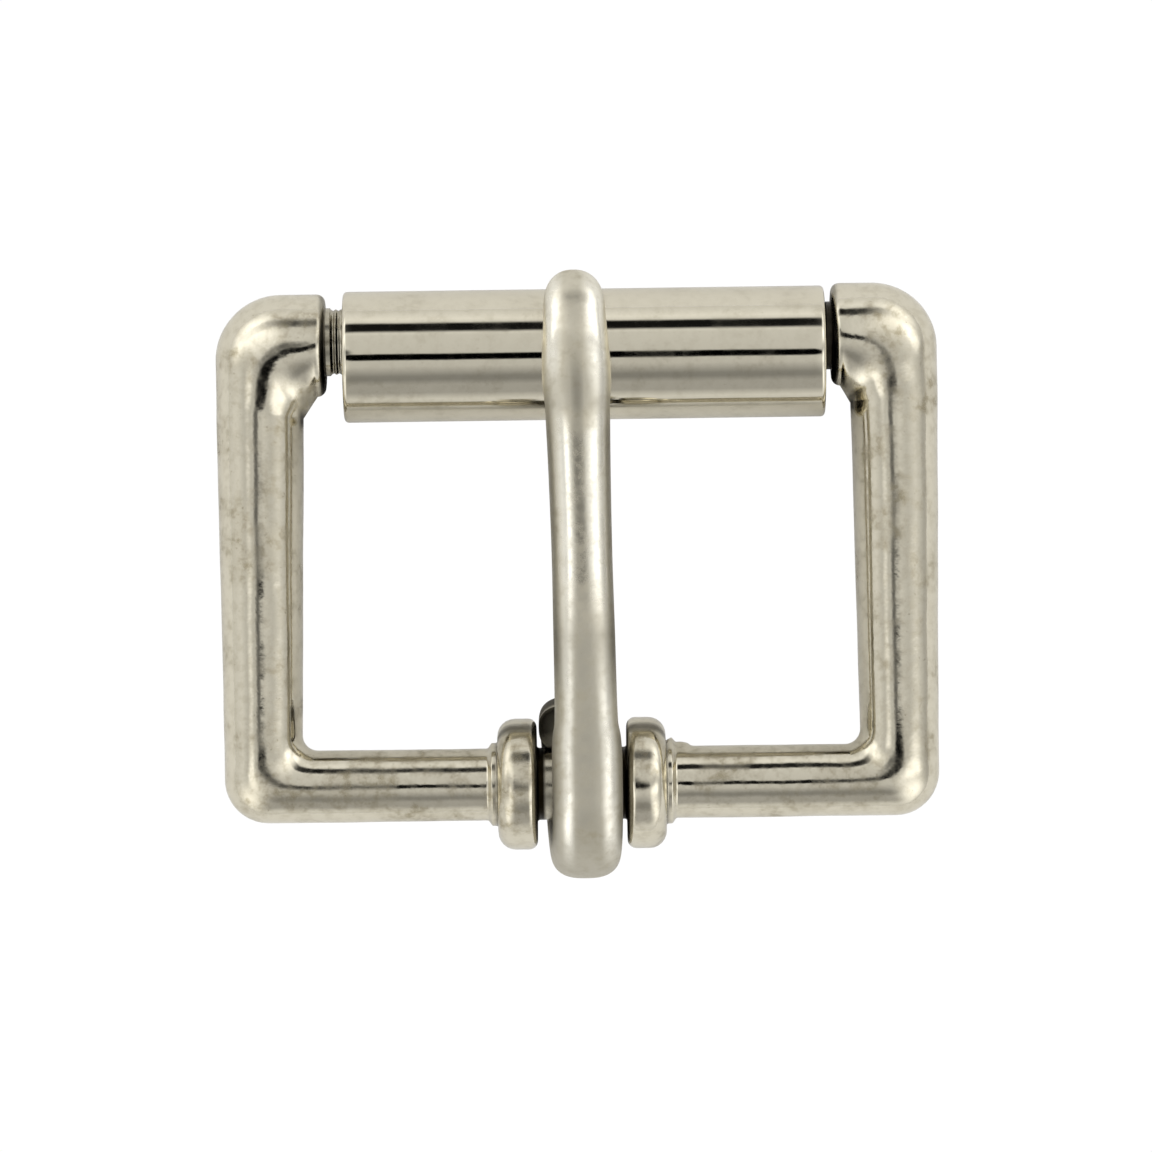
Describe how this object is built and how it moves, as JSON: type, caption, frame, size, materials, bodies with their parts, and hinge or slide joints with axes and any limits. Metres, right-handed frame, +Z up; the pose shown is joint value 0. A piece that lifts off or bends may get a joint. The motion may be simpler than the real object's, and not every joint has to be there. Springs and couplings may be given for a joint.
{
  "type": "roller buckle",
  "caption": "Cast heel-bar strap buckle with a loose sheet-metal roller on its front bar and a tongue curled round the heel bar, for a 25 mm strap.",
  "frame": {"origin": "on the surface that the buckle lies on, under the middle of its whole outline", "axes": "+X across the strap, from side bar to side bar; +Y along the strap, from the heel bar to the roller; +Z up, out of the front face"},
  "size_m": [0.033, 0.0278, 0.0087],
  "materials": {
    "cast_nickel": "polished nickel plate on a casting",
    "sheet_nickel": "polished nickel plate on rolled sheet",
    "forged_nickel": "tumbled nickel plate on a bent bar"
  },
  "bodies": {
    "frame": {"frame": "cast_nickel"},
    "roller": {"roller": "sheet_nickel"},
    "tongue": {"tongue": "forged_nickel"}
  },
  "joints": [
    {"name": "roller_spin", "type": "hinge", "parent": "frame", "child": "roller", "pos_m": [0, 0.01003, 0.003], "axis": [1, 0, 0], "continuous": true},
    {"name": "tongue_swing", "type": "hinge", "parent": "frame", "child": "tongue", "pos_m": [0, -0.00958, 0.00435], "axis": [1, 0, 0], "range_deg": [0, 180]}
  ]
}
